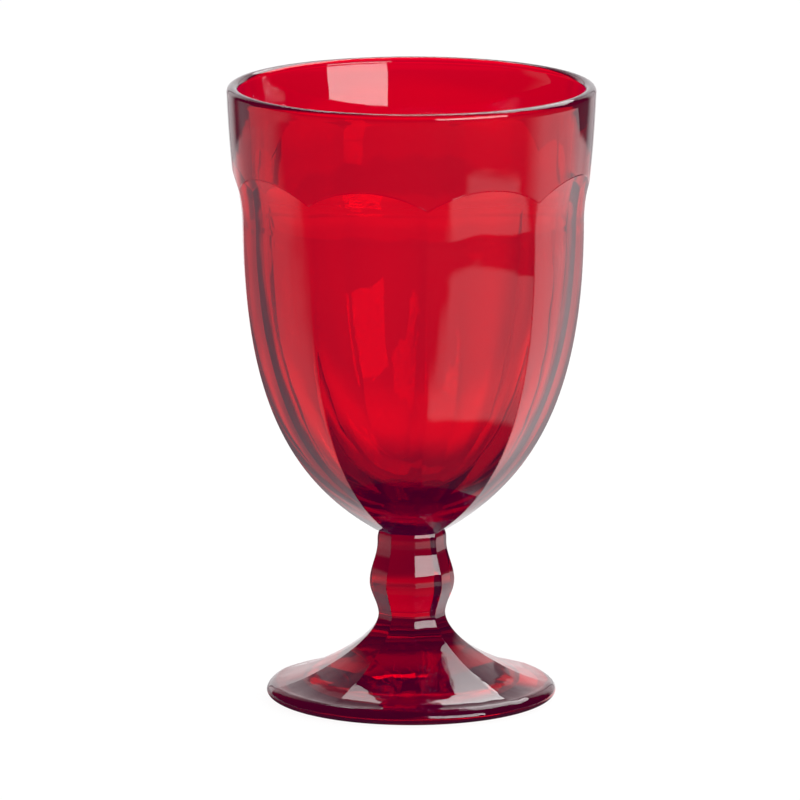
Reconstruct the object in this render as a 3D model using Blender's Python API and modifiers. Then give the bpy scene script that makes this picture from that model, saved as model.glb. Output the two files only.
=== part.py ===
"""Footed iced tea glass in pressed ruby glass: panelled bowl, faceted stem with a knop, and flared foot."""

import math

import bpy
from mathutils import Vector

# Driving dimensions, in metres and degrees. The glass stands on Z = 0 with its axis on Z.
PANELS = 9
RIDGE_TURN = math.radians(10)  # the direction of the first ridge, from +X
FUSE_GAP = 0.0003  # between two pieces at a fused joint

BOWL_HEIGHT = 0.1242
RIM_RADIUS = 0.0508
LIP_WALL = 0.0033
BAND_FLARE = 0.0004  # how far the plain band under the lip curves in from a straight cone
ARCH_RADIUS = 0.0494  # of the plain band where it ends in the arches
ARCH_DEPTH = 0.0218  # from the rim down to the top of an arch
ARCH_RISE = 0.0050  # of an arch above the points where two arches meet
ARCH_FADE = 0.022  # below the scoops, where the rings come level again
SCOOP_HEIGHT = 0.016  # of the hollow that leads from an arch down onto its panel
SHOULDER_RADIUS = 0.0476  # of the ridges where the scoops end
SHOULDER_FLATNESS = 0.40  # of the panels there: 0 is round and 1 is flat
WALL = 0.0034  # at the middle of a panel
BELLY_HANDLE = 0.0476  # curve handle that sets how far down the sides stay upright
BASE_HANDLE = 0.0288  # curve handle where the bowl closes onto the stem
BASE_SLOPE = math.radians(30.6)
FLOOR_THICKNESS = 0.010
FLOOR_HANDLE = 0.026  # curve handle that sets how wide the floor inside is

STEM_LENGTH = 0.0228
UPPER_NECK_RADIUS = 0.00965
KNOP_RADIUS = 0.0119
KNOP_HEIGHT = 0.0092  # of its widest place above the stem's lower end
LOWER_NECK_RADIUS = 0.0094

FOOT_HEIGHT = 0.0244
FOOT_RADIUS = 0.0401
FLARE_HANDLE = 0.0082  # curve handle where the foot leaves the stem
EDGE_HANDLE = 0.0084  # curve handle where the flare reaches the edge
EDGE_SLOPE = math.radians(9.5)
EDGE_FLATNESS = 0.3  # of the facets where they reach the edge
EDGE_HEIGHT = 0.0049
EDGE_ROUNDING = 0.0024  # how far the rim of the foot stands out past the flare
REST_INSET = 0.0062  # from the widest place of the foot in to the flat resting ring
REST_WIDTH = 0.0055
HOLLOW_HEIGHT = 0.005  # of the hollow under the foot

# Facets
STEPS_PER_PANEL = 8
LIP_POINTS = 7
BAND_POINTS = 5
SCOOP_POINTS = 6
BELLY_POINTS = 16
WALL_POINTS = 4
CUP_POINTS = 13
STEM_POINTS = 21
FLARE_POINTS = 12
EDGE_POINTS = 4
HOLLOW_POINTS = 6
MERGE_DISTANCE = 0.00001
SHARP_ANGLE = math.radians(30)  # between faces that meet in a crisp edge

# Worked out from the sizes above
HALF_PANEL = math.pi / PANELS
ROUND_STEPS = PANELS * STEPS_PER_PANEL
STEM_BASE = FOOT_HEIGHT + FUSE_GAP
BOWL_BASE = STEM_BASE + STEM_LENGTH + FUSE_GAP


def shares(count):
    """Evenly spaced numbers from 0 to 1."""
    return [i / (count - 1) for i in range(count)]


def bezier(start, first, second, end, count):
    """Points on a cubic curve through start and end, with the two handles between them."""
    points = []
    for t in shares(count):
        u = 1 - t
        near = Vector(start) * u**3 + Vector(first) * 3 * u * u * t
        points.append(near + Vector(second) * 3 * u * t * t + Vector(end) * t**3)
    return points


def conic(start, handle, end, count):
    """Points on a quadratic curve from start to end."""
    points = []
    for t in shares(count):
        u = 1 - t
        points.append(Vector(start) * u * u + Vector(handle) * 2 * u * t + Vector(end) * t * t)
    return points


def quarter(centre, across, up, first, last, count):
    """Points on an ellipse between two angles."""
    points = []
    for t in shares(count):
        angle = first + (last - first) * t
        points.append(Vector((centre[0] + across * math.cos(angle), centre[1] + up * math.sin(angle))))
    return points


def station(point, flatness=0.0, arch=0.0):
    """A point of an outline: radius, height, how flat its panels are and how far it follows the arches."""
    return point[0], point[1], flatness, arch


def ruby_glass(name, colour, roughness):
    material = bpy.data.materials.new(name)
    material.use_nodes = True
    shader = material.node_tree.nodes["Principled BSDF"]
    shader.inputs["Base Color"].default_value = (*colour, 1)
    shader.inputs["Roughness"].default_value = roughness
    shader.inputs["Metallic"].default_value = 0
    shader.inputs["IOR"].default_value = 1.52
    shader.inputs["Transmission Weight"].default_value = 1
    return material


def turned(name, outline, steps, material):
    """Turns an outline of stations about Z, from the axis over the top, down the outside and back in."""
    mesh = bpy.data.meshes.new(name)
    edges = [(i, i + 1) for i in range(len(outline) - 1)]
    mesh.from_pydata([(radius, 0, height) for radius, height, flatness, arch in outline], edges, [])
    mesh.materials.append(material)
    piece = bpy.data.objects.new(name, mesh)
    glass.objects.link(piece)
    flat_group = piece.vertex_groups.new(name="flatness")
    arch_group = piece.vertex_groups.new(name="arch")
    for i, (radius, height, flatness, arch) in enumerate(outline):
        flat_group.add([i], flatness, "REPLACE")
        arch_group.add([i], arch, "REPLACE")
    screw = piece.modifiers.new("turn", "SCREW")
    screw.axis = "Z"
    screw.angle = math.tau
    screw.steps = steps
    screw.render_steps = steps
    screw.use_merge_vertices = True
    screw.merge_threshold = MERGE_DISTANCE
    return piece


def press_panels(piece):
    """Presses the panels in: ridges keep their radius, and between them the wall moves in."""
    bpy.context.view_layer.update()
    graph = bpy.context.evaluated_depsgraph_get()
    mesh = bpy.data.meshes.new_from_object(
        piece.evaluated_get(graph), preserve_all_data_layers=True, depsgraph=graph
    )
    mesh.name = piece.name
    groups = piece.vertex_groups["flatness"].index, piece.vertex_groups["arch"].index
    for vertex in mesh.vertices:
        weights = {element.group: element.weight for element in vertex.groups}
        flatness, arch = (weights.get(group, 0) for group in groups)
        turn = math.atan2(vertex.co.y, vertex.co.x) - RIDGE_TURN
        offset = turn % (2 * HALF_PANEL) - HALF_PANEL  # from the middle of the panel
        inward = 1 - flatness + flatness * math.cos(HALF_PANEL) / math.cos(offset)
        vertex.co.x *= inward
        vertex.co.y *= inward
        vertex.co.z -= arch * ARCH_RISE * (offset / HALF_PANEL) ** 2
    piece.modifiers.clear()
    piece.data = mesh


def smooth(piece):
    """Rounded where the surface bends gently, crisp along ridges and joints."""
    piece.data.shade_smooth()
    piece.data.set_sharp_from_angle(angle=SHARP_ANGLE)


def bowl_outline():
    arch_height = BOWL_HEIGHT - ARCH_DEPTH
    shoulder_height = arch_height - SCOOP_HEIGHT
    lip = LIP_WALL / 2
    lip_centre = RIM_RADIUS - lip, BOWL_HEIGHT - lip
    panel_depth = SHOULDER_RADIUS * SHOULDER_FLATNESS * (1 - math.cos(HALF_PANEL))
    cup_radius = SHOULDER_RADIUS - panel_depth - WALL
    belly_height = shoulder_height - BELLY_HANDLE

    outline = []
    floor = (0, FLOOR_THICKNESS)
    shoulder = (cup_radius, shoulder_height)
    cup = bezier(floor, (FLOOR_HANDLE, FLOOR_THICKNESS), (cup_radius, belly_height), shoulder, CUP_POINTS)
    outline += [station(point) for point in cup]

    lip_inside = (RIM_RADIUS - LIP_WALL, lip_centre[1])
    wall_handle = (cup_radius + BAND_FLARE, arch_height)
    wall = conic(shoulder, wall_handle, lip_inside, WALL_POINTS + 1)
    outline += [station(point) for point in wall[1:]]

    rounding = quarter(lip_centre, lip, lip, math.pi, 0, LIP_POINTS)
    outline += [station(point) for point in rounding[1:]]

    lip_outside = Vector((RIM_RADIUS, lip_centre[1]))
    arch = Vector((ARCH_RADIUS, arch_height))
    band_handle = (lip_outside + arch) / 2 - Vector((BAND_FLARE, 0))
    band = conic(lip_outside, band_handle, arch, BAND_POINTS)
    outline += [station(point, 0, t) for point, t in zip(band[1:], shares(BAND_POINTS)[1:])]

    shoulder = (SHOULDER_RADIUS, shoulder_height)
    scoop_handle = (SHOULDER_RADIUS, (arch_height + shoulder_height) / 2)
    scoop = conic(arch, scoop_handle, shoulder, SCOOP_POINTS)
    for point, t in zip(scoop[1:], shares(SCOOP_POINTS)[1:]):
        outline.append(station(point, SHOULDER_FLATNESS * (1 - (1 - t) ** 2), 1))

    base = (UPPER_NECK_RADIUS, 0)
    base_reach = BASE_HANDLE * math.cos(BASE_SLOPE)
    base_handle = (UPPER_NECK_RADIUS + base_reach, BASE_HANDLE * math.sin(BASE_SLOPE))
    belly = bezier(shoulder, (SHOULDER_RADIUS, belly_height), base_handle, base, BELLY_POINTS)
    for point in belly[1:]:
        below = shoulder_height - point[1]
        flatness = SHOULDER_FLATNESS + (1 - SHOULDER_FLATNESS) * below / shoulder_height
        outline.append(station(point, flatness, max(0, 1 - below / ARCH_FADE)))
    outline.append(station((0, 0)))
    return outline


def stem_outline():
    outline = [station((0, STEM_LENGTH))]
    for t in shares(STEM_POINTS):
        height = STEM_LENGTH * (1 - t)
        above = height > KNOP_HEIGHT
        neck = UPPER_NECK_RADIUS if above else LOWER_NECK_RADIUS
        reach = STEM_LENGTH - KNOP_HEIGHT if above else KNOP_HEIGHT
        swell = 0.5 + 0.5 * math.cos(math.pi * (height - KNOP_HEIGHT) / reach)
        outline.append(station((neck + (KNOP_RADIUS - neck) * swell, height)))
    outline.append(station((0, 0)))
    return outline


def foot_outline():
    flare_radius = FOOT_RADIUS - EDGE_ROUNDING
    rest_radius = FOOT_RADIUS - REST_INSET
    waist = EDGE_HEIGHT / 2
    neck = (LOWER_NECK_RADIUS, FOOT_HEIGHT)
    neck_handle = (LOWER_NECK_RADIUS, FOOT_HEIGHT - FLARE_HANDLE)
    rim = (flare_radius, EDGE_HEIGHT)
    rim_reach = EDGE_HANDLE * math.cos(EDGE_SLOPE)
    rim_handle = (flare_radius - rim_reach, EDGE_HEIGHT + EDGE_HANDLE * math.sin(EDGE_SLOPE))

    outline = [station((0, FOOT_HEIGHT))]
    flare = bezier(neck, neck_handle, rim_handle, rim, FLARE_POINTS)
    for point in flare:
        outwards = (point[0] - LOWER_NECK_RADIUS) / (flare_radius - LOWER_NECK_RADIUS)
        outline.append(station(point, 1 - (1 - EDGE_FLATNESS) * outwards))
    upper = quarter((flare_radius, waist), EDGE_ROUNDING, EDGE_HEIGHT - waist, math.pi / 2, 0, EDGE_POINTS)
    outline += [station(point) for point in upper[1:]]
    lower = quarter((rest_radius, waist), REST_INSET, waist, 0, -math.pi / 2, EDGE_POINTS)
    outline += [station(point) for point in lower[1:]]

    hollow_radius = rest_radius - REST_WIDTH
    hollow = quarter((0, 0), hollow_radius, HOLLOW_HEIGHT, 0, math.pi / 2, HOLLOW_POINTS)
    outline += [station(point) for point in hollow[:-1]]
    outline.append(station((0, HOLLOW_HEIGHT)))
    return outline


for leftover in list(bpy.data.objects):
    bpy.data.objects.remove(leftover)
glass = bpy.data.collections.new("iced_tea_glass")
bpy.context.scene.collection.children.link(glass)
centre_line = bpy.data.objects.new("centre_line", None)
glass.objects.link(centre_line)

bowl = turned("bowl", bowl_outline(), ROUND_STEPS, ruby_glass("bowl_glass", (0.66, 0.0, 0.02), 0.02))
press_panels(bowl)
bowl.location.z = BOWL_BASE

stem = turned("stem", stem_outline(), PANELS, ruby_glass("stem_glass", (0.40, 0.0, 0.012), 0.02))
stem.rotation_euler.z = RIDGE_TURN
stem.location.z = STEM_BASE

foot = turned("foot", foot_outline(), ROUND_STEPS, ruby_glass("foot_glass", (0.46, 0.0, 0.014), 0.03))
press_panels(foot)

for piece in (bowl, foot):
    smooth(piece)
for piece in (bowl, stem, foot):
    piece.parent = centre_line
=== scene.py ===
import math

import bpy
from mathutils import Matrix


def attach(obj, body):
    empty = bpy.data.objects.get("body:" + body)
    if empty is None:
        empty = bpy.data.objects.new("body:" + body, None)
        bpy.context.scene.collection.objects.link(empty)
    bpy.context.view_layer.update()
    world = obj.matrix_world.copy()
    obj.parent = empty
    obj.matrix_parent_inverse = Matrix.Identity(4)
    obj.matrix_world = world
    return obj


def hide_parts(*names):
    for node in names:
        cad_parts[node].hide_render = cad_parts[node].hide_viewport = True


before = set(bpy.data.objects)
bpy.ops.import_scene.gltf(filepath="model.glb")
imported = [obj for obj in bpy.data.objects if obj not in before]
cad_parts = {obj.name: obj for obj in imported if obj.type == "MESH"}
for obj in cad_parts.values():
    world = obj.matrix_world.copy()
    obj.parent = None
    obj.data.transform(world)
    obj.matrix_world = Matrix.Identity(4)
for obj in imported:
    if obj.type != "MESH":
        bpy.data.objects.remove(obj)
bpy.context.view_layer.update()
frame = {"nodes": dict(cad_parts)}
scene = bpy.context.scene
print("frame loaded:", ", ".join(frame["nodes"]))

mm = 0.001
deg = math.pi / 180
white = (1, 1, 1, 1)


class Wire:  # one socket of a node tree: sums on it become Math nodes
    def __init__(self, tree, socket=None):
        self.tree, self.socket = tree, socket

    def add(self, kind, settings=None, sockets=None, out=0):  # any other node
        node = self.tree.nodes.new(kind)
        for name, value in (settings or {}).items():
            setattr(node, name, value)
        for key, value in (sockets or {}).items():
            if isinstance(value, Wire):
                self.tree.links.new(value.socket, node.inputs[key])
            else:
                node.inputs[key].default_value = value
        return Wire(self.tree, node.outputs[out] if node.outputs else None)

    def port(self, out):  # another output of the same node
        return Wire(self.tree, self.socket.node.outputs[out])

    def math(self, operation, *terms):
        return self.add("ShaderNodeMath", {"operation": operation}, dict(enumerate(terms)))

    def vectors(self, operation, *terms, out=0):
        return self.add("ShaderNodeVectorMath", {"operation": operation}, dict(enumerate(terms)), out)

    def __add__(self, other):
        return self.math("ADD", self, other)

    def __radd__(self, other):
        return self.math("ADD", other, self)

    def __sub__(self, other):
        return self.math("SUBTRACT", self, other)

    def __rsub__(self, other):
        return self.math("SUBTRACT", other, self)

    def __mul__(self, other):
        return self.math("MULTIPLY", self, other)

    def __rmul__(self, other):
        return self.math("MULTIPLY", other, self)

    def __truediv__(self, other):
        return self.math("DIVIDE", self, other)

    def __rtruediv__(self, other):
        return self.math("DIVIDE", other, self)

    def __mod__(self, other):
        return self.math("FLOORED_MODULO", self, other)

    def __pow__(self, other):
        return self.math("POWER", self, other)

    def __abs__(self):
        return self.math("ABSOLUTE", self)


def emptyTree(owner):  # of a material or a world
    owner.use_nodes = True
    owner.node_tree.nodes.clear()
    return Wire(owner.node_tree)


# Ruby glass: a clear surface with the waves of the mould, and colour that deepens with the way through it
ruby = {
    "colour": (0.9825, 0.0, 0.42, 1), "density": 2600.0,  # red passes, green and blue stop within the wall
    "bend": 1.5,  # index of refraction
    "waveScale": 62.0, "waveDepth": 0.28 * mm,
    "drawOut": (1, 1, 0.1), "streakScale": 170.0, "streakDepth": 0.09 * mm,  # streaks drawn out along the height
    "chillScale": 420.0, "chillDepth": 0.004 * mm,
    "paintedGlow": (0.021, 0.0, 0.014, 1),  # a faint painted glow: light that the glass gives off of itself, an even veil over its dark parts
    "polish": 0.0, "haze": 0.02,
    "scuffBelow": 0.2 * mm, "scuffing": 0.25,  # rubbed where the foot rests
}


def rubyGlass(name, look):
    material = bpy.data.materials.new(name)
    start = emptyTree(material)
    place = start.add("ShaderNodeTexCoord", out="Object")

    def noise(at, scale, detail):
        return start.add("ShaderNodeTexNoise", sockets={"Vector": at, "Scale": scale, "Detail": detail})

    waves = noise(place, look["waveScale"], 1.0)
    streaks = noise(start.vectors("MULTIPLY", place, look["drawOut"]), look["streakScale"], 1.0)
    chill = noise(place, look["chillScale"], 2.0)
    mould = start.add("ShaderNodeAttribute", {"attribute_name": "mould"}, out="Fac")
    height = (waves * look["waveDepth"] + streaks * look["streakDepth"]) * mould + chill * look["chillDepth"]
    bump = start.add("ShaderNodeBump", sockets={"Strength": 1.0, "Distance": 1.0, "Height": height})
    level = start.add("ShaderNodeSeparateXYZ", sockets={"Vector": place}, out="Z")
    scuff = start.math("LESS_THAN", level, look["scuffBelow"])
    roughness = look["polish"] + chill * look["haze"] + scuff * look["scuffing"]
    # the emission is the painted glow, light from the glass with no lamp behind it
    surface = start.add("ShaderNodeBsdfPrincipled", sockets={
        "Base Color": white, "Roughness": roughness, "IOR": look["bend"], "Transmission Weight": 1.0,
        "Normal": bump, "Emission Color": look["paintedGlow"], "Emission Strength": 1.0})
    volume = start.add("ShaderNodeVolumeAbsorption", sockets={
        "Color": look["colour"], "Density": look["density"]})
    start.add("ShaderNodeOutputMaterial", sockets={"Surface": surface, "Volume": volume})
    return material


rubyFinish = rubyGlass("ruby_glass_polished", ruby)
print("finish made:", rubyFinish.name)


# Outlines: lines of points (radius, height), each made a station with four shares more:
# flatness of the panels, arch (how far it hangs between the arches), lean (radius gained for each height,
# which a hanging point follows) and mould (1 where the mould and not the plunger shaped it)
stationShares = ("flatness", "arch", "lean", "mould")


def shares(count):
    return [step / (count - 1) for step in range(count)]


def quarter(count):  # angles over a quarter turn
    return [math.pi / 2 * t for t in shares(count)]


def bezier(a, b, c, d, count):
    points = []
    for t in shares(count):
        s = 1 - t
        points.append(tuple(
            s**3 * a[i] + 3 * s * s * t * b[i] + 3 * s * t * t * c[i] + t**3 * d[i] for i in (0, 1)))
    return points


def conic(a, b, c, count):
    points = []
    for t in shares(count):
        s = 1 - t
        points.append(tuple(s * s * a[i] + 2 * s * t * b[i] + t * t * c[i] for i in (0, 1)))
    return points


def besideEdge(edge, towards, steps):  # points at steps of height from a crisp edge, towards the next point
    rise = abs(towards[1] - edge[1])
    return [tuple(e + (t - e) * step / rise for e, t in zip(edge, towards)) for step in steps]


def slope(points, i, leastRise=1e-6 * mm):
    before, after = points[max(i - 1, 0)], points[min(i + 1, len(points) - 1)]
    rise = after[1] - before[1]
    return (after[0] - before[0]) / rise if abs(rise) > leastRise else 0.0


def stationed(points, flatness, arch, lean=None, mould=1.0):  # without a lean, the line's own slope
    return [(radius, height, flatness(i, radius, height), arch(i, radius, height),
             slope(points, i) if lean is None else lean(i, radius, height), mould)
            for i, (radius, height) in enumerate(points)]


def none(*at):
    return 0.0


def whole(*at):
    return 1.0


def pole(height):  # the station that closes a flat end on the axis
    return [(0, height, 1, 0, 0, 1)]


# The tree that turns an outline about Z and presses the panels into it
turning = {"evenly": 0.3, "weld": 0.002 * mm, "crispFold": 40 * deg}  # evenly: 1 spaces all columns alike


def pressTree(making):
    tree = bpy.data.node_groups.new("pressedTurn", "GeometryNodeTree")
    for name, kind in (
        ("Outline", "Geometry"), ("Panels", "Int"), ("Steps per panel", "Int"), ("First ridge", "Float"),
        ("Ridge rounding", "Float"), ("Arch rise", "Float"), ("Arch fullness", "Float"), ("Finish", "Material"),
    ):
        tree.interface.new_socket(name, in_out="INPUT", socket_type="NodeSocket" + kind)
    tree.interface.new_socket("Glass", in_out="OUTPUT", socket_type="NodeSocketGeometry")
    given = Wire(tree).add("NodeGroupInput")
    outline, panels, steps = given.port("Outline"), given.port("Panels"), given.port("Steps per panel")
    rows = given.add("GeometryNodeAttributeDomainSize", {"component": "MESH"}, {"Geometry": outline}, "Point Count")
    sheet = given.add("GeometryNodeMeshGrid", sockets={
        "Size X": 1.0, "Size Y": 1.0, "Vertices X": panels * steps + 1, "Vertices Y": rows})

    def fits(size, count):  # how often a size goes into a count, clear of rounding
        return given.math("FLOOR", (count + 0.5) / size)

    index = given.add("GeometryNodeInputIndex")
    row, column = index % rows, fits(rows, index)

    def sampled(kind, value):
        return given.add("GeometryNodeSampleIndex", {"data_type": kind, "domain": "POINT"},
                         {"Geometry": outline, "Value": value, "Index": row})

    def named(name):
        return given.add("GeometryNodeInputNamedAttribute", {"data_type": "FLOAT"}, {"Name": name})

    at = given.add("ShaderNodeSeparateXYZ", sockets={
        "Vector": sampled("FLOAT_VECTOR", given.add("GeometryNodeInputPosition"))})
    flatness, arch, lean, mould = (sampled("FLOAT", named(name)) for name in stationShares)

    half = math.pi / panels  # the angle of half a panel
    share = 2 * (column % steps) / steps - 1  # -1 and 1 at the ridges
    crowded = given.math("SINE", share * (math.pi / 2))  # closer columns at the ridges
    offset = half * (making["evenly"] * share + (1 - making["evenly"]) * crowded)
    angle = given.port("First ridge") + (2 * fits(steps, column) + 1) * half + offset

    drop = abs(offset / half) ** given.port("Arch fullness") * given.port("Arch rise") * arch
    height = at.port("Z") - drop
    ridge = at.port("X") - lean * drop

    def facet(turn):  # the radius of a panel at an angle from its middle
        return ridge * (1 - flatness + flatness * given.math("COSINE", half) / given.math("COSINE", turn))

    beyond = facet(2 * half - abs(offset))  # of the next panel
    radius = given.math("SMOOTH_MIN", facet(offset), beyond, given.port("Ridge rounding") * flatness)
    spot = given.add("ShaderNodeCombineXYZ", sockets={
        "X": radius * given.math("COSINE", angle), "Y": radius * given.math("SINE", angle), "Z": height})
    pressed = given.add("GeometryNodeSetPosition", sockets={"Geometry": sheet, "Position": spot})
    pressed = given.add("GeometryNodeStoreNamedAttribute", {"data_type": "FLOAT", "domain": "POINT"}, {
        "Geometry": pressed, "Name": "mould", "Value": mould})
    closed = given.add("GeometryNodeMergeByDistance", sockets={"Geometry": pressed, "Distance": making["weld"]})
    outward = given.add("GeometryNodeFlipFaces", sockets={"Mesh": closed})
    smooth = given.add("GeometryNodeSetShadeSmooth", {"domain": "FACE"}, {
        "Geometry": outward, "Shade Smooth": True})
    fold = given.add("GeometryNodeInputMeshEdgeAngle", out="Unsigned Angle")
    crisp = given.add("GeometryNodeSetShadeSmooth", {"domain": "EDGE"}, {
        "Geometry": smooth, "Selection": given.math("GREATER_THAN", fold, making["crispFold"]),
        "Shade Smooth": False})
    real = given.add("GeometryNodeRealizeInstances", sockets={"Geometry": crisp})
    coated = given.add("GeometryNodeSetMaterial", sockets={"Geometry": real, "Material": given.port("Finish")})
    given.add("NodeGroupOutput", sockets={"Glass": coated})
    return tree


def pressed(name, stations, sizes, tree):  # one piece of glass as a plain mesh
    mesh = bpy.data.meshes.new(name)
    points = [(station[0], 0, station[1]) for station in stations]
    mesh.from_pydata(points, [(i, i + 1) for i in range(len(points) - 1)], [])
    for column, label in enumerate(stationShares, 2):  # after radius and height
        values = [station[column] for station in stations]
        mesh.attributes.new(label, "FLOAT", "POINT").data.foreach_set("value", values)
    piece = bpy.data.objects.new(name, mesh)
    scene.collection.objects.link(piece)
    modifier = piece.modifiers.new("press", "NODES")
    modifier.node_group = tree
    for socket in tree.interface.items_tree:
        if socket.in_out == "INPUT" and socket.name in sizes:
            modifier[socket.identifier] = sizes[socket.name]
    made = bpy.data.meshes.new_from_object(piece.evaluated_get(bpy.context.evaluated_depsgraph_get()))
    piece.modifiers.remove(modifier)
    piece.data = made
    made.name = name
    triangles = sum(len(polygon.vertices) - 2 for polygon in made.polygons)
    print(name, "pressed:", len(made.vertices), "points,", triangles, "triangles")
    return piece


pressing = pressTree(turning)
panelling = {
    "Panels": 9, "Steps per panel": 32, "First ridge": 10 * deg, "Ridge rounding": 0.16 * mm,
    "Arch rise": 5.0 * mm, "Arch fullness": 2.05, "Finish": rubyFinish,
}
seam = 0.01 * mm  # half of the hairline left between fused pieces

# The bowl: a plain lip and band, arched panel tops, and panels that flatten down to the stem
bowl = {
    "rim": 172.0 * mm, "rimRadius": 50.8 * mm, "lip": 3.3 * mm,
    "archHeight": 150.2 * mm, "archRadius": 49.45 * mm, "archFade": 22 * mm,
    "archEdge": (0.15 * mm, 0.45 * mm),  # two rings on either side keep the edge crisp
    "bandSwell": 0.3 * mm, "wallFlare": 0.4 * mm,
    "scoopSlope": 0.42, "scoopHandles": (6.0 * mm, 5.0 * mm),
    "shoulderHeight": 134.2 * mm, "shoulderRadius": 47.6 * mm, "shoulderFlatness": 0.40,
    "bellyHandle": 47.6 * mm, "baseHandle": 28.8 * mm, "baseSlope": 30.6 * deg,
    "base": 47.65 * mm, "neckRadius": 9.65 * mm,
    "floorHeight": 57.8 * mm, "floorHandle": 26 * mm, "cupRadius": 43.05 * mm,
    "rings": {"cup": 84, "wall": 20, "lip": 17, "band": 24, "scoop": 40, "belly": 92},
    "mould": {"cup": 0.5, "wall": 0.0, "lip": 0.3, "band": 0.4},
}


def bowlStations(b):
    rings, mould, flatness = b["rings"], b["mould"], b["shoulderFlatness"]
    base, lip = b["base"] + seam, b["lip"] / 2
    lipTop = b["rim"] - lip
    arch, shoulder = (b["archRadius"], b["archHeight"]), (b["shoulderRadius"], b["shoulderHeight"])
    cup = bezier(
        (0, b["floorHeight"]), (b["floorHandle"], b["floorHeight"]),
        (b["cupRadius"], shoulder[1] - b["bellyHandle"]), (b["cupRadius"], shoulder[1]), rings["cup"])
    wall = conic(
        cup[-1], (b["cupRadius"] + b["wallFlare"], arch[1]), (b["rimRadius"] - b["lip"], lipTop), rings["wall"])
    over = [(b["rimRadius"] - lip - lip * math.cos(math.pi * t), lipTop + lip * math.sin(math.pi * t))
            for t in shares(rings["lip"])]
    band = conic(
        (b["rimRadius"], lipTop), ((b["rimRadius"] + arch[0]) / 2 + b["bandSwell"], (lipTop + arch[1]) / 2),
        arch, rings["band"])
    inset = flatness * (1 - math.cos(math.pi / panelling["Panels"]))  # of a panel's middle from its ridges
    panelTop = arch[0] / (1 - inset)  # where the ridges would be, level with an arch's middle
    upper, lower = b["scoopHandles"]
    scoop = bezier(
        (panelTop, arch[1]), (panelTop - b["scoopSlope"] * upper, arch[1] - upper),
        (shoulder[0], shoulder[1] + lower), shoulder, rings["scoop"])
    belly = bezier(
        shoulder, (shoulder[0], shoulder[1] - b["bellyHandle"]),
        (b["neckRadius"] + b["baseHandle"] * math.cos(b["baseSlope"]),
         base + b["baseHandle"] * math.sin(b["baseSlope"])),
        (b["neckRadius"], base), rings["belly"])
    band[-1:] = reversed(besideEdge(band[-1], band[-2], b["archEdge"]))
    scoop[:1] = besideEdge(scoop[0], scoop[1], b["archEdge"])
    ridges = scoop + belly[1:]

    def ridgeAt(height):
        above = max(i for i, point in enumerate(ridges[:-1]) if point[1] >= height)
        (r0, h0), (r1, h1) = ridges[above], ridges[above + 1]
        return r0 + (r1 - r0) * (h0 - height) / (h0 - h1)

    def ridgeLean(share, leastDrop=0.01 * mm):  # a ring that hangs between two arches meets the ridge's outline
        def lean(i, radius, height):
            drop = panelling["Arch rise"] * share(i, radius, height)
            return (radius - ridgeAt(height - drop)) / drop if drop > leastDrop else 0.0
        return lean

    def bandArch(i, radius, height):
        return min(1.0, (lipTop - height) / (lipTop - arch[1]))

    def scoopFlat(i, radius, height):
        return flatness

    def bellyFlat(i, radius, height):
        return flatness + (1 - flatness) * (shoulder[1] - height) / (shoulder[1] - base)

    def bellyArch(i, radius, height):
        fade = max(0.0, 1 - (shoulder[1] - height) / b["archFade"])
        return fade * fade * (3 - 2 * fade)

    stations = stationed(cup, none, none, mould=mould["cup"])
    stations += stationed(wall, none, none, mould=mould["wall"])[1:]
    stations += stationed(over, none, none, mould=mould["lip"])[1:]
    stations += stationed(band, none, bandArch, mould=mould["band"])[1:]
    stations += stationed(scoop, scoopFlat, whole, ridgeLean(whole))
    stations += stationed(belly, bellyFlat, bellyArch, ridgeLean(bellyArch))[1:]
    return stations + pole(base)


bowlGlass = pressed("bowl_glass", bowlStations(bowl), panelling, pressing)

# The stem: nine flat facets over a knop, with its upper edge rounded off under the bowl
stem = {
    "top": 47.65 * mm, "upperNeck": 9.72 * mm, "upperSwell": 11.0 * mm,
    "edgeInset": 0.42 * mm, "edgeDepth": 2.2 * mm,
    "knop": 11.95 * mm, "knopHeight": 33.6 * mm,
    "base": 24.55 * mm, "lowerNeck": 9.4 * mm, "lowerSwell": 9.6 * mm, "rings": 64,
}


def stemStations(s):
    low, high = s["base"] + seam, s["top"] - seam
    line = []
    for t in shares(s["rings"]):
        height = high + (low - high) * t
        side = "upper" if height > s["knopHeight"] else "lower"
        neck, reach = s[side + "Neck"], s[side + "Swell"]
        swell = 0.5 + 0.5 * math.cos(math.pi * min(1.0, abs(height - s["knopHeight"]) / reach))
        rounded = max(0.0, 1 - (high - height) / s["edgeDepth"])
        line.append((neck + (s["knop"] - neck) * swell - s["edgeInset"] * rounded**2, height))
    return pole(high) + stationed(line, whole, none, none) + pole(low)


stemGlass = pressed("stem_glass", stemStations(stem), panelling, pressing)

# The foot: facets that fade into a round rim, hollow under the middle
foot = {
    "top": 24.55 * mm, "neck": 9.4 * mm, "flareHandle": 8.2 * mm,
    "edgeHandle": 8.4 * mm, "edgeSlope": 9.5 * deg, "edgeFlatness": 0.3,
    "radius": 40.1 * mm, "edgeHeight": 4.9 * mm, "edgeRounding": 2.4 * mm,
    "restInset": 6.2 * mm, "restWidth": 5.5 * mm, "hollow": 5.0 * mm,
    "flareRings": 96, "edgeRings": 14, "hollowRings": 40,
}


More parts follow.
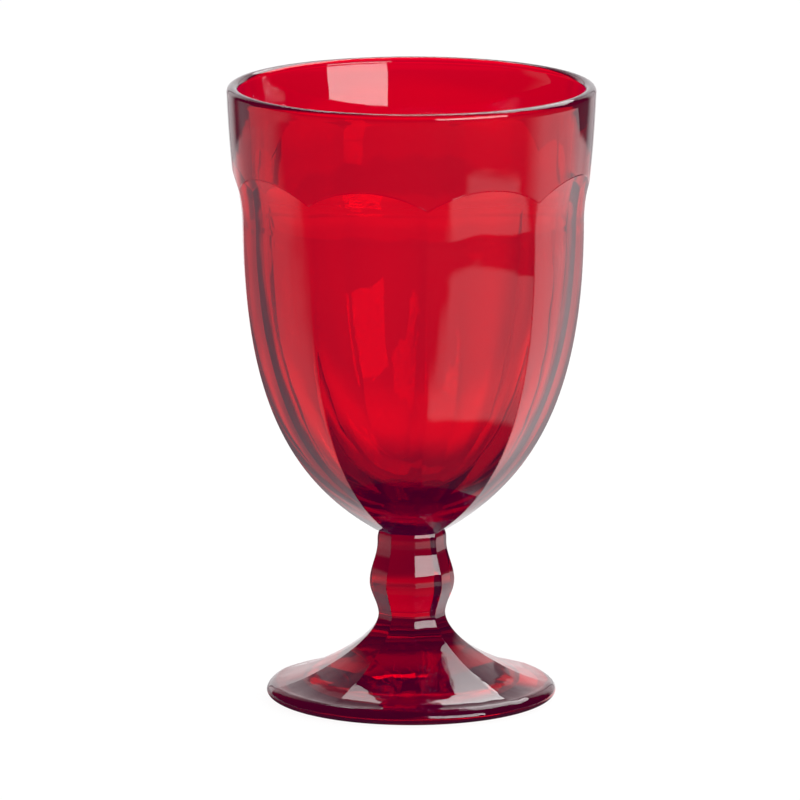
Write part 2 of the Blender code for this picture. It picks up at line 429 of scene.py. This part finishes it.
def footStations(f):
    top, flareRadius, waist = f["top"] - seam, f["radius"] - f["edgeRounding"], f["edgeHeight"] / 2
    flare = bezier(
        (f["neck"], top), (f["neck"], top - f["flareHandle"]),
        (flareRadius - f["edgeHandle"] * math.cos(f["edgeSlope"]),
         f["edgeHeight"] + f["edgeHandle"] * math.sin(f["edgeSlope"])),
        (flareRadius, f["edgeHeight"]), f["flareRings"])
    edge = [(flareRadius + f["edgeRounding"] * math.sin(turn), waist + waist * math.cos(turn))
            for turn in quarter(f["edgeRings"])]
    restRadius = f["radius"] - f["restInset"]
    under = [(restRadius + f["restInset"] * math.cos(turn), waist - waist * math.sin(turn))
             for turn in quarter(f["edgeRings"])]
    hollowRadius = restRadius - f["restWidth"]
    hollow = [(hollowRadius * math.cos(turn), f["hollow"] * math.sin(turn)) for turn in quarter(f["hollowRings"])]

    def flareFlat(i, radius, height):
        return 1 + (f["edgeFlatness"] - 1) * i / (f["flareRings"] - 1)

    def edgeFlat(i, radius, height):
        return f["edgeFlatness"] * (1 - i / (f["edgeRings"] - 1))

    stations = pole(top) + stationed(flare, flareFlat, none)
    stations += stationed(edge, edgeFlat, none)[1:]
    stations += stationed(under, none, none)[1:]
    return stations + stationed(hollow, none, none)


footGlass = pressed("foot_glass", footStations(foot), panelling, pressing)

for piece, node in ((bowlGlass, "bowl"), (stemGlass, "stem"), (footGlass, "foot")):
    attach(piece, "root")
    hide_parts(node)
print("pieces set on the frame")

# The camera, as the photo was taken: far back, a little above the rim
shot = {
    "turn": -75 * deg, "distance": 2.8, "height": 0.632, "tilt": 11.075 * deg,
    "aside": 3.15 * mm, "lens": 465.1, "farthest": 50,
}
ahead = (-math.cos(shot["turn"]), -math.sin(shot["turn"]))
camera = bpy.data.objects.new("camera", bpy.data.cameras.new("camera"))
camera.data.lens = shot["lens"]
camera.data.clip_end = shot["farthest"]
camera.location = (
    -shot["distance"] * ahead[0] - shot["aside"] * ahead[1],
    -shot["distance"] * ahead[1] + shot["aside"] * ahead[0],
    shot["height"])
camera.rotation_euler = (math.pi / 2 - shot["tilt"], 0, shot["turn"] + math.pi / 2)
scene.collection.objects.link(camera)
scene.camera = camera
print("camera set")

# The floor and the room: a lit sweep behind the glass, dim sides, and a pale room behind the lens.
# Angles are level and to the right of straight ahead, or from the middle of a form. A pair runs from dark to lit
# or from near to far, and two more numbers after it are the levels at its ends
studio = {
    "floorSize": 3.0, "floorColour": (0.9, 0.9, 0.9, 1), "floorShine": 0.95,
    "sheetLeft": (-96 * deg, -82 * deg), "sheetStep": 0.46, "sheetMiddle": (-52 * deg, -20 * deg),
    "sheetRight": (108 * deg, 88 * deg),
    "sheetDip": (9 * deg, 22 * deg, 0.0, 0.28), "sheetGain": (36 * deg, 48 * deg, 0.0, 0.46),
    "sheetReach": (0.74, 0.78), "sheetRun": (50 * deg, 58 * deg, 0.0, 0.2), "sheetGlow": 0.64,
    "paintedPool": (0.12, 0.23), "poolGlow": (0.38, 1.08), "poolFar": (0.26, 0.42),  # a painted pool in the floor's glow about the glass, seen only through it: painted shade under the glass, then a bright brim
    "clothFar": (0.82, 1.2, 0.75, 0.92), "clothRise": (0.0, 0.07, 0.92, 1.08), "clothEdge": (40 * deg, 28 * deg),
    "ceiling": (0.26, 0.7), "ceilingGlow": 0.2,
    "standTurn": 18 * deg, "standEdge": (0.004, 0.010), "standShade": 0.35,
    "cardTurn": 127 * deg, "cardEdge": (20 * deg, 15 * deg), "cardNear": (0.112, 0.122), "cardFar": (0.53, 0.49),
    "wallTurn": -72 * deg, "wallEdge": (32 * deg, 20 * deg), "wallTop": (0.12, 0.06), "wallGlow": 0.4,
    "lensEdge": (105 * deg, 65 * deg), "lensNear": (0.22, 0.5), "lensGlow": 0.75,
    "dimRoom": (0.9, 0.9, 0.9, 1), "dimMirrored": (0.01, 0.01, 0.01, 1), "dimThrough": (0.12, 0.12, 0.12, 1),
}


def turned(angle):  # a level direction
    return (ahead[0] * math.cos(angle) + ahead[1] * math.sin(angle),
            ahead[1] * math.cos(angle) - ahead[0] * math.sin(angle), 0)


def eased(start, value, low, high, bottom=0.0, top=1.0):
    return start.add("ShaderNodeMapRange", {"interpolation_type": "SMOOTHSTEP"}, {
        "Value": value, "From Min": low, "From Max": high, "To Min": bottom, "To Max": top})


def along(start, towards, angle):  # how far a direction goes along a level one
    return start.vectors("DOT_PRODUCT", towards, turned(angle), out="Value")


def bearing(start, towards):  # the level angle of a direction
    return start.math("ARCTAN2", along(start, towards, math.pi / 2), along(start, towards, 0))


def nearness(start, towards, angle):  # cosine of the level angle between two directions
    level = start.vectors("MULTIPLY", towards, (1, 1, 0))
    return along(start, start.vectors("NORMALIZE", level), angle)


def fan(start, near, edge):  # lit about its middle, out to two angles
    return eased(start, near, *(math.cos(angle) for angle in edge))


def blended(start, share, first, second, kind="MIX"):  # of two colours: sockets 6 and 7, and output 2
    return start.add("ShaderNodeMix", {"data_type": "RGBA", "blend_type": kind},
                     {"Factor": share, 6: first, 7: second}, 2)


def backdrop(start, towards, s):  # the lit cloth behind the glass, with two stripes of painted shade on it for two dark stands in front of it
    near = nearness(start, towards, 0)
    stands = abs(near - math.cos(s["standTurn"]))
    return fan(start, near, s["clothEdge"]) * eased(start, stands, *s["standEdge"], s["standShade"], 1.0)


def leftWall(start, towards, s):
    return fan(start, nearness(start, towards, s["wallTurn"]), s["wallEdge"]) * s["wallGlow"]


def lensSide(start, towards, s):  # the pale room behind the lens, which other views see through the glass
    return fan(start, nearness(start, towards, math.pi), s["lensEdge"]) * s["lensGlow"]


def seenGlow(start, path, glow, pale, s):  # white to the lens, while the glass shows the glow or a dim room
    through = path.port("Is Transmission Ray")
    glow = start.math("MAXIMUM", glow, through * pale)
    dim = blended(start, path.port("Is Glossy Ray"), s["dimRoom"], s["dimMirrored"])
    dim = blended(start, through, dim, s["dimThrough"])  # after the gloss, because rough glass counts as both
    inGlass = blended(start, 1.0, dim, glow, "LIGHTEN")
    return blended(start, path.port("Is Camera Ray"), inGlass, white)


def litSheet(start, place, away, through, s):  # the lit sheet under the glass, with the painted pool of shade and light that only rays through the glass see, and what stands past its end
    turn = bearing(start, place)
    step = s["sheetStep"]
    level = eased(start, turn, *s["sheetLeft"], 0.0, step) + eased(start, turn, *s["sheetMiddle"], 0.0, 1 - step)
    level = level * eased(start, turn, *s["sheetRight"])
    level = level * (1 - eased(start, turn, *s["sheetDip"]) + eased(start, turn, *s["sheetGain"]))
    # painted shade under the glass and a painted bright brim about it, for rays through the glass only
    (under, brim), rest = s["poolGlow"], s["sheetGlow"]
    paintedPool = eased(start, away, *s["paintedPool"], under, brim) - eased(start, away, *s["poolFar"], 0.0, brim - rest)
    beyond = eased(start, away - eased(start, turn, *s["sheetRun"]), *s["sheetReach"])
    sheet = level * (1 - beyond) * (1 + through * (paintedPool - 1))
    cloth = backdrop(start, place, s) * eased(start, away, *s["clothFar"])
    return sheet + beyond * (cloth + leftWall(start, place, s))


def paintedCard(start, place, away, s):  # a painted white card: a patch of glow in the floor to the right of the lens, which only the glass shows
    card = fan(start, nearness(start, place, s["cardTurn"]), s["cardEdge"])
    return card * eased(start, away, *s["cardNear"]) * eased(start, away, *s["cardFar"])


def paleFloor(s):
    mesh = bpy.data.meshes.new("floor")
    r = s["floorSize"]
    mesh.from_pydata([(-r, -r, 0), (r, -r, 0), (r, r, 0), (-r, r, 0)], [], [(0, 1, 2, 3)])
    floor = bpy.data.objects.new("floor", mesh)
    scene.collection.objects.link(floor)
    material = bpy.data.materials.new("pale_floor")
    start = emptyTree(material)
    path = start.add("ShaderNodeLightPath")
    through = path.port("Is Transmission Ray")
    place = start.add("ShaderNodeTexCoord", out="Object")
    away = start.vectors("LENGTH", place, out="Value")
    lit = start.math("MAXIMUM", litSheet(start, place, away, through, s), paintedCard(start, place, away, s))
    pale = lensSide(start, place, s) * eased(start, away, *s["lensNear"])
    seen = start.math("MINIMUM", path.port("Is Camera Ray") + path.port("Is Glossy Ray") + through, 1.0)
    matt = start.add("ShaderNodeBsdfDiffuse", sockets={"Color": s["floorColour"]})
    shine = start.add("ShaderNodeEmission", sockets={
        "Color": seenGlow(start, path, lit, pale, s), "Strength": 1.0})
    mixed = start.add("ShaderNodeMixShader", sockets={0: seen * s["floorShine"], 1: matt, 2: shine})
    start.add("ShaderNodeOutputMaterial", sockets={"Surface": mixed})
    mesh.materials.append(material)


def room(s):
    world = bpy.data.worlds.new("studio")
    scene.world = world
    start = emptyTree(world)
    path = start.add("ShaderNodeLightPath")
    towards = start.add("ShaderNodeTexCoord", out="Generated")
    up = start.add("ShaderNodeSeparateXYZ", sockets={"Vector": towards}, out="Z")
    cloth = backdrop(start, towards, s) * eased(start, up, *s["clothRise"])
    cloth = cloth * eased(start, up, *s["ceiling"], 1.0, s["ceilingGlow"])
    wall = leftWall(start, towards, s) * eased(start, up, *s["wallTop"])
    glow = seenGlow(start, path, cloth + wall, lensSide(start, towards, s), s)
    light = start.add("ShaderNodeBackground", sockets={"Color": glow, "Strength": 1.0})
    start.add("ShaderNodeOutputWorld", sockets={"Surface": light})


paleFloor(studio)
room(studio)
print("floor and room made")

# Soft boxes, by their angle to the right of the lens, seen from the glass: a bright one in front, two softer behind
lamps = {
    "key": {"turn": 38.5 * deg, "lift": 21 * deg, "wide": 0.94, "high": 0.6, "radiance": 7.6},
    "backRight": {"turn": 142 * deg, "lift": 49 * deg, "wide": 1.1, "high": 0.78, "radiance": 4.3},
    "backLeft": {"turn": -166 * deg, "lift": 48 * deg, "wide": 0.34, "high": 0.30, "radiance": 3.0},
}
lampAway, lampAim = 1.2, 0.1  # from the point that they face, and its height
for name, box in lamps.items():
    lamp = bpy.data.lights.new(name, "AREA")
    lamp.shape, lamp.size, lamp.size_y = "RECTANGLE", box["wide"], box["high"]
    lamp.energy = math.pi * box["wide"] * box["high"] * box["radiance"]
    holder = bpy.data.objects.new(name, lamp)
    holder.visible_camera = False
    turn, lift = shot["turn"] + box["turn"], box["lift"]
    level = lampAway * math.cos(lift)
    holder.location = (level * math.cos(turn), level * math.sin(turn), lampAim + lampAway * math.sin(lift))
    holder.rotation_euler = (math.pi / 2 - lift, 0, turn + math.pi / 2)
    scene.collection.objects.link(holder)
print("studio lit by", len(lamps), "soft boxes")

scene.view_settings.view_transform = "Standard"
scene.cycles.max_bounces = 32
scene.cycles.transmission_bounces = 32
scene.cycles.glossy_bounces = 16
scene.cycles.transparent_max_bounces = 16
